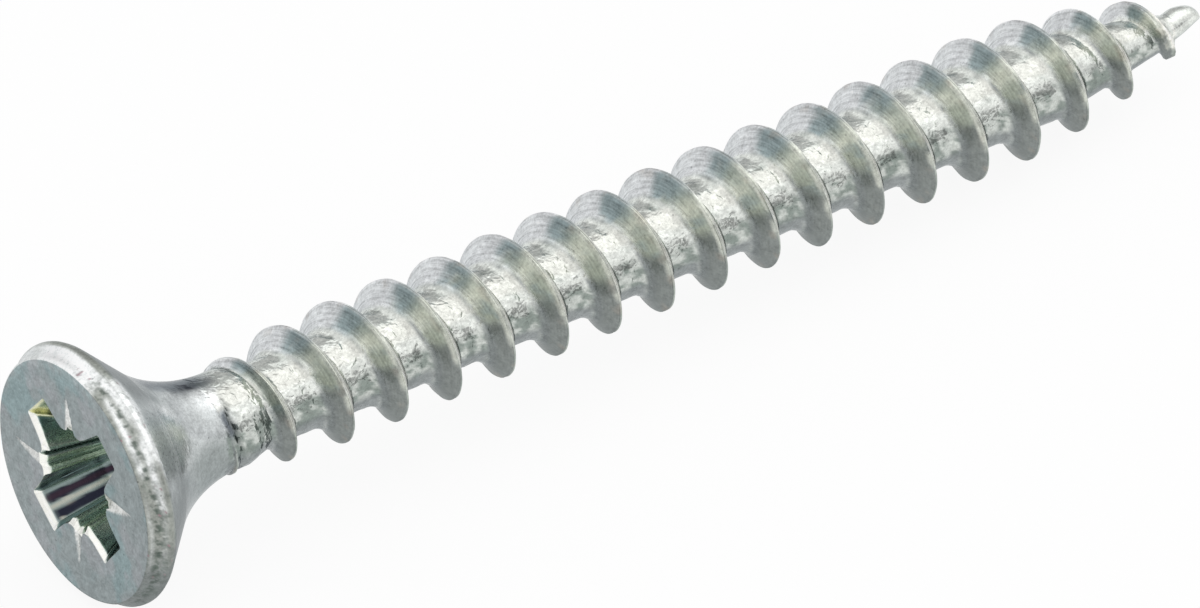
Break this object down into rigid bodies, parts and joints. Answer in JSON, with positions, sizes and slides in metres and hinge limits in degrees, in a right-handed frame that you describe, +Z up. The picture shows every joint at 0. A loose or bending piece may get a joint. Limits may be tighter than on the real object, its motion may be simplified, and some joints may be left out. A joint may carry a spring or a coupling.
{
  "type": "chipboard screw",
  "caption": "Countersunk wood screw with a cross recess, a coarse full-length thread and a gimlet point.",
  "frame": {"origin": "on the screw's axis, in the plane of the head's flat face, at the mouth of the recess", "axes": "+Z up; +X the way the screw points. The screw lies as it comes to rest, so its own axis is in the XZ plane and dips 3.47 degrees from +X towards the point"},
  "size_m": [0.0401, 0.008, 0.0079],
  "materials": {
    "zinc_plate": "bright zinc plate with a faint blue-green tint, satin, scuffed"
  },
  "bodies": {
    "root": {"screw": "zinc_plate"}
  },
  "joints": []
}
